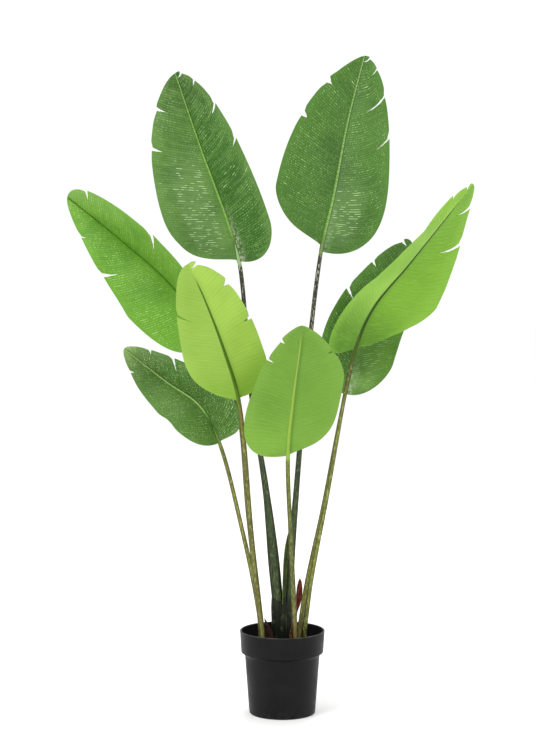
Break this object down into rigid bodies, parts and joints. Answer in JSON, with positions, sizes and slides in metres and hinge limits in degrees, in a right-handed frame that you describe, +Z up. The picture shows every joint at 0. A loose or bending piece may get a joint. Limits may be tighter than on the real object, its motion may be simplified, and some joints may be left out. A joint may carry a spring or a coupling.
{
  "type": "potted bird of paradise plant",
  "caption": "House plant with large folded, torn blades on tall bare stalks that rise from soil in a round tapered grower's pot.",
  "frame": {"origin": "middle of the pot's flat foot", "axes": "+Z up along the pot's axis, the plant's front faces -Y, +X to the right when looked at from the front"},
  "size_m": [0.7225, 0.4187, 1.1941],
  "materials": {
    "pot": "moulded plastic, satin to matte",
    "soil": "dark crumbly potting soil",
    "trunk": "dark green sheath with brown edges",
    "tall_stalk": "dark green, smooth",
    "stalk": "olive green that turns tan near the soil",
    "deep_blade": "deep green upper face with fine veins",
    "mid_blade": "fresh green with fine veins",
    "light_blade": "pale green underside lit from behind",
    "bud": "red-brown, papery"
  },
  "bodies": {
    "root": {"pot": "pot", "soil": "soil", "trunk": "trunk", "stalk_tall_left": "tall_stalk", "blade_tall_left": "deep_blade", "stalk_tall_right": "tall_stalk", "blade_tall_right": "deep_blade", "stalk_middle_left": "stalk", "blade_middle_left": "mid_blade", "stalk_low_left": "stalk", "blade_low_left": "deep_blade", "stalk_front_left": "stalk", "blade_front_left": "light_blade", "stalk_front_low": "stalk", "blade_front_low": "mid_blade", "stalk_front_right": "stalk", "blade_front_right": "light_blade", "stalk_back_right": "stalk", "blade_back_right": "deep_blade", "young_spear": "stalk", "red_bud": "bud", "left_bract": "bud", "front_bract": "bud"}
  },
  "joints": []
}
